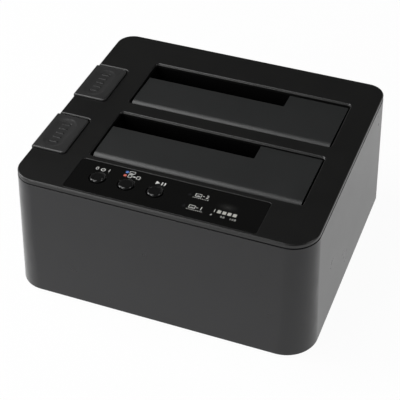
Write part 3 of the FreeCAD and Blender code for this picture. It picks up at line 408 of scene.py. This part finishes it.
panelMarks = {
    "ink": 0.02, "line": 0.34, "thin": 0.24,  # how thick the ink stands, and how wide its lines are
    "power": {"at": (12.55, 17.65), "drop": 0.08, "radius": 0.93, "start": 125, "sweep": 290, "steps": 18,
              "stem": (0.7, 1.0), "apart": 3.0, "figure": (2.1, 1.0)},  # a figure's height and spacing
    "start": {"at": (41.15, 17.65), "arrowX": -1.6, "arrow": 1.35, "barsX": (0.75, 2.1), "bar": (0.6, 2.1)},
    "computer": {"at": (26.2, 20.0), "rise": 0.3, "screen": (2.8, 1.6), "drop": 0.95, "foot": 2.0},
    "copy": {"at": (28.0, 17.65), "apart": 2.1, "sheet": (1.8, 2.1), "stemX": -0.45, "stem": (0.9, 0.35),
             "arrowX": 0.3, "arrow": 0.65},
    "drives": {"at": (((61.9, 15.95), "2"), ((61.9, 7.55), "1")), "caseX": -1.55, "case": (3.0, 2.1), "slotDrop": 0.35,
               "slot": 1.3, "dashX": 0.9, "dash": (0.9, 0.3), "digitX": 2.75, "figure": (2.2, 1.0),
               "dots": 9, "dotsX": -3.5, "pitch": 0.875, "dotDrop": 1.95, "dot": (0.45, 0.3)},
    "tick": {"at": (70.7, 8.6), "bar": (0.2, 2.0)},
    "scale": {"at": ((70.1, "0"), (75.4, "50"), (80.2, "100")), "y": 5.45, "figure": (1.15, 1.4)},
}
digitShare = 0.7   # how much of a font's size its figures stand high
pointRight = -90   # degrees from a triangle that points up


def layBar(bm, x, y, width, depth):
    place = Matrix.Translation((x, y, 0)) @ Matrix.Diagonal((width, depth, 1, 1))
    return bmesh.ops.create_grid(bm, x_segments=1, y_segments=1, size=0.5, matrix=place)["verts"]


def layFrame(bm, x, y, width, depth, line):
    middle = layBar(bm, x, y, width, depth)[0].link_faces[0]
    bmesh.ops.inset_region(bm, faces=[middle], thickness=line, use_boundary=True, use_even_offset=True)
    bmesh.ops.delete(bm, geom=[middle], context="FACES_ONLY")


def layArc(bm, x, y, radius, line, start, sweep, steps):
    turn = Matrix.Rotation(math.radians(start), 3, "Z")
    ends = [bm.verts.new(Vector((x, y, 0)) + turn @ Vector((reach, 0, 0)))
            for reach in (radius - line / 2, radius + line / 2)]
    edge = bm.edges.new(ends)
    bmesh.ops.spin(bm, geom=ends + [edge], cent=(x, y, 0), axis=(0, 0, 1), angle=math.radians(sweep), steps=steps)


def layTriangle(bm, x, y, radius, turn):
    place = Matrix.Translation((x, y, 0)) @ Matrix.Rotation(math.radians(turn), 4, "Z")
    bmesh.ops.create_circle(bm, cap_ends=True, segments=3, radius=radius, matrix=place)


def layDigits(bm, x, y, figure, digits):
    height, spacing = figure
    curve = bpy.data.curves.new("digits", "FONT")
    curve.body, curve.size, curve.resolution_u = digits, height / digitShare, 3
    curve.align_x, curve.align_y, curve.space_character = "CENTER", "CENTER", spacing
    holder = bpy.data.objects.new("digits", curve)
    mesh = bpy.data.meshes.new_from_object(holder)
    before = len(bm.verts)
    bm.from_mesh(mesh)
    bm.verts.ensure_lookup_table()
    bmesh.ops.translate(bm, verts=bm.verts[before:], vec=(x, y, 0))
    bpy.data.objects.remove(holder)
    bpy.data.curves.remove(curve)
    bpy.data.meshes.remove(mesh)


def finishPiece(bm, name, body, finish):
    mesh = bpy.data.meshes.new(name)
    bm.to_mesh(mesh)
    bm.free()
    piece = bpy.data.objects.new(name, mesh)
    mesh.materials.append(finishes[finish])
    bpy.context.scene.collection.objects.link(piece)
    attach(piece, body)


def printInk(bm, name):
    # gives the flat marks their thickness and lays them on the panel
    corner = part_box("control_panel")
    bmesh.ops.recalc_face_normals(bm, faces=bm.faces)
    for face in bm.faces:
        if face.normal.z < 0:
            face.normal_flip()
    solid = bmesh.ops.extrude_face_region(bm, geom=bm.faces[:], use_keep_orig=True)
    raised = [part for part in solid["geom"] if isinstance(part, bmesh.types.BMVert)]
    bmesh.ops.translate(bm, verts=raised, vec=(0, 0, panelMarks["ink"]))
    bmesh.ops.recalc_face_normals(bm, faces=bm.faces)
    bmesh.ops.scale(bm, verts=bm.verts, vec=(mm, mm, mm))
    bmesh.ops.translate(bm, verts=bm.verts, vec=(corner[0].x, corner[0].y, corner[1].z))
    finishPiece(bm, name, "housing", "pad printed ink")


def printControlMarks():
    line, thin = panelMarks["line"], panelMarks["thin"]
    bm = bmesh.new()
    mark = panelMarks["power"]
    x, y = mark["at"]
    layArc(bm, x, y - mark["drop"], mark["radius"], line, mark["start"], mark["sweep"], mark["steps"])
    layBar(bm, x, y + mark["stem"][0], line, mark["stem"][1])
    for side, digit in ((-1, "0"), (1, "1")):
        layDigits(bm, x + side * mark["apart"], y, mark["figure"], digit)
    mark = panelMarks["start"]
    x, y = mark["at"]
    layTriangle(bm, x + mark["arrowX"], y, mark["arrow"], pointRight)
    for step in mark["barsX"]:
        layBar(bm, x + step, y, *mark["bar"])
    mark = panelMarks["computer"]
    x, y = mark["at"]
    layFrame(bm, x, y + mark["rise"], *mark["screen"], thin)
    layBar(bm, x, y - mark["drop"], mark["foot"], thin)
    mark = panelMarks["copy"]
    x, y = mark["at"]
    for side in (-1, 1):
        layFrame(bm, x + side * mark["apart"], y, *mark["sheet"], thin)
    layBar(bm, x + mark["stemX"], y, *mark["stem"])
    layTriangle(bm, x + mark["arrowX"], y, mark["arrow"], pointRight)
    printInk(bm, "control_marks")


def printDriveMarks():
    thin = panelMarks["thin"]
    bm = bmesh.new()
    mark = panelMarks["drives"]
    for (x, y), digit in mark["at"]:
        layFrame(bm, x + mark["caseX"], y, *mark["case"], thin)
        layBar(bm, x + mark["caseX"], y - mark["slotDrop"], mark["slot"], thin)
        layBar(bm, x + mark["dashX"], y, *mark["dash"])
        layDigits(bm, x + mark["digitX"], y, mark["figure"], digit)
        for step in range(mark["dots"]):
            layBar(bm, x + mark["dotsX"] + step * mark["pitch"], y - mark["dotDrop"], *mark["dot"])
    layBar(bm, *panelMarks["tick"]["at"], *panelMarks["tick"]["bar"])
    mark = panelMarks["scale"]
    for x, digits in mark["at"]:
        layDigits(bm, x, mark["y"], mark["figure"], digits)
    printInk(bm, "drive_marks")


printControlMarks()
printDriveMarks()
print("panel marks printed")

# contacts in the sockets: mm; "set" is how far behind the mouth they start

contacts = {
    "thick": 0.12,
    # two rows in one line, data on the left and power on the right
    "drive": {"rows": ((-36.6, 7), (-23.6, 15)), "pitch": 1.15, "wide": 0.6, "tall": 4.6, "half": 1.2, "set": 1.2},
    "usb": {"pitch": 2.4, "wide": 1.0, "long": 6.6, "half": 1.55, "set": 1.9},
    "esata": {"pitch": 1.1, "count": 7, "wide": 0.55, "long": 6.0, "half": 0.7, "set": 1.8},
}


def layBlock(bm, middle, size):
    place = Matrix.Translation(Vector(middle)) @ Matrix.Diagonal((*size, 1))
    bmesh.ops.create_cube(bm, size=1.0, matrix=place)


def fitDriveContacts(bay):
    look = contacts["drive"]
    low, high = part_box(bay + "_drive_socket")
    y, top = (low.y + high.y) / 2 / mm, high.z / mm
    bm = bmesh.new()
    for start, count in look["rows"]:
        for index in range(count):
            x = start + index * look["pitch"]
            layBlock(bm, (x, y + look["half"] - contacts["thick"] / 2, top - look["set"] - look["tall"] / 2),
                     (look["wide"], contacts["thick"], look["tall"]))
    bmesh.ops.scale(bm, verts=bm.verts, vec=(mm, mm, mm))
    finishPiece(bm, bay + "_socket_contacts", "housing", "gold plated bronze")


def fitPortContacts():
    bm = bmesh.new()
    low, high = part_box("usb_socket")
    look = contacts["usb"]
    x, face, z = (low.x + high.x) / 2 / mm, high.y / mm, (low.z + high.z) / 2 / mm
    for side in (-1, 1):
        for step in (-0.5, 0.5):
            layBlock(bm, (x + step * look["pitch"], face - look["set"] - look["long"] / 2, z + side * look["half"]),
                     (look["wide"], look["long"], contacts["thick"]))
    low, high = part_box("esata_socket")
    look = contacts["esata"]
    x, face, z = (low.x + high.x) / 2 / mm, high.y / mm, (low.z + high.z) / 2 / mm
    for index in range(look["count"]):
        step = index - look["count"] // 2
        layBlock(bm, (x + step * look["pitch"], face - look["set"] - look["long"] / 2, z - look["half"]),
                 (look["wide"], look["long"], contacts["thick"]))
    bmesh.ops.scale(bm, verts=bm.verts, vec=(mm, mm, mm))
    finishPiece(bm, "port_contacts", "housing", "gold plated bronze")


for bay in ("front", "rear"):
    fitDriveContacts(bay)
fitPortContacts()
print("contacts fitted")

# springs: each takes its coil from the CAD node, as a welded, smooth-shaded copy shown in place of the node

springs = {
    "leg": 0.5,     # mm at each end of a flap's coil that stay straight: the width of its wire
    "travel": 3.8,  # mm that an eject button goes down
    "weld": 0.002,  # mm within which the copy's corners are one
}


def copySpring(node, name):
    mesh = nodes[node].data.copy()
    mesh.name = name
    bm = bmesh.new()
    bm.from_mesh(mesh)
    bmesh.ops.remove_doubles(bm, verts=bm.verts, dist=springs["weld"] * mm)
    bm.to_mesh(mesh)
    bm.free()
    mesh.shade_smooth()
    piece = bpy.data.objects.new(name, mesh)
    bpy.context.scene.collection.objects.link(piece)
    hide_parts(node)
    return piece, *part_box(node)


def windFlapSpring(bay):
    # the copy of a flap's coil stays where the CAD put it, with its place baked into its mesh
    piece, low, high = copySpring(bay + "_flap_spring", bay + "_flap_coil")
    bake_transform(piece)


def pressEjectSpring(bay):
    # the copy of an eject spring goes with the housing, on a mesh of its own
    piece, low, high = copySpring(bay + "_eject_spring", bay + "_eject_coil")
    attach(piece, "housing")
    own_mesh(piece)


for bay in ("front", "rear"):
    windFlapSpring(bay)
    pressEjectSpring(bay)
print("springs wound")

# floor and light

studio = {
    "floor": 6.0, "under": 0.05,        # metres across; mm below the feet, so that no two faces share a plane
    "paper": "#efefef",
    "seen": 0.96, "mirrored": 0.8,      # how white the paper is to the camera and to gloss; the rest takes shadow
    "horizon": 0.02, "dim": 0.2,        # heights between which the sweep falls from white to the ceiling
    "ceiling": 0.05,                    # the light left overhead
    # name: place in metres, size in metres, watts
    "boxes": {
        "topBox": ((-0.45, -0.1, 0.85), 0.6, 6.5),
        "leftBox": ((-0.95, -0.15, 0.4), 0.4, 4.0),
        "frontBox": ((-0.45, -0.95, 0.5), 0.5, 4.0),
        "rightBox": ((1.1, 0.0, 0.85), 0.4, 2.5),
    },
}


def whitePaper():
    # seamless white paper: the camera sees it white, and the gloss sees it white with the object's shadow on it
    material, tree = newMaterial("seamless white paper")
    rays = addNode(tree, "ShaderNodeLightPath")
    mirrored = addNode(tree, "ShaderNodeMath", {"operation": "MAXIMUM"},
                       {0: rays.outputs["Is Glossy Ray"], 1: rays.outputs["Is Transmission Ray"]})
    mirrored = addNode(tree, "ShaderNodeMath", {"operation": "MULTIPLY", 1: studio["mirrored"]},
                       {0: mirrored.outputs["Value"]})
    seen = addNode(tree, "ShaderNodeMath", {"operation": "MULTIPLY", 1: studio["seen"]},
                   {0: rays.outputs["Is Camera Ray"]})
    share = addNode(tree, "ShaderNodeMath", {"operation": "MAXIMUM"},
                    {0: seen.outputs["Value"], 1: mirrored.outputs["Value"]})
    paper = addNode(tree, "ShaderNodeBsdfDiffuse", {"Color": toLinear(studio["paper"])})
    glow = addNode(tree, "ShaderNodeEmission", {"Strength": 1.0})
    both = addNode(tree, "ShaderNodeMixShader", None,
                   {0: share.outputs["Value"], 1: paper.outputs["BSDF"], 2: glow.outputs["Emission"]})
    addNode(tree, "ShaderNodeOutputMaterial", None, {"Surface": both.outputs["Shader"]})
    return material


def layFloor():
    bm = bmesh.new()
    below = Matrix.Translation((0, 0, -studio["under"] * mm))
    bmesh.ops.create_grid(bm, x_segments=1, y_segments=1, size=studio["floor"] / 2, matrix=below)
    mesh = bpy.data.meshes.new("floor")
    bm.to_mesh(mesh)
    bm.free()
    floor = bpy.data.objects.new("floor", mesh)
    mesh.materials.append(whitePaper())
    bpy.context.scene.collection.objects.link(floor)


def lightRoom():
    # a white sweep near the horizon under a dark ceiling, so upward faces stay deep black
    world = bpy.data.worlds.new("studio")
    bpy.context.scene.world = world
    world.use_nodes = True
    tree = world.node_tree
    tree.nodes.clear()
    way = addNode(tree, "ShaderNodeTexCoord").outputs["Generated"]
    height = addNode(tree, "ShaderNodeSeparateXYZ", None, {"Vector": way}).outputs["Z"]
    fall = addNode(tree, "ShaderNodeMapRange",
                   {"interpolation_type": "SMOOTHSTEP", "From Min": studio["horizon"], "From Max": studio["dim"],
                    "To Min": 1.0, "To Max": studio["ceiling"]}, {"Value": height})
    rays = addNode(tree, "ShaderNodeLightPath")
    level = addNode(tree, "ShaderNodeMath", {"operation": "MAXIMUM"},
                    {0: rays.outputs["Is Camera Ray"], 1: fall.outputs["Result"]})
    sky = addNode(tree, "ShaderNodeBackground", {"Color": (1, 1, 1, 1)}, {"Strength": level.outputs["Value"]})
    addNode(tree, "ShaderNodeOutputWorld", None, {"Surface": sky.outputs["Background"]})
    for name, (place, size, watts) in studio["boxes"].items():
        data = bpy.data.lights.new(name, "AREA")
        data.shape, data.size, data.energy = "SQUARE", size, watts
        lamp = bpy.data.objects.new(name, data)
        lamp.location = place
        lamp.rotation_euler = (-Vector(place)).to_track_quat("-Z", "Y").to_euler()
        bpy.context.scene.collection.objects.link(lamp)


layFloor()
lightRoom()
print("floor and light set")

print("done")
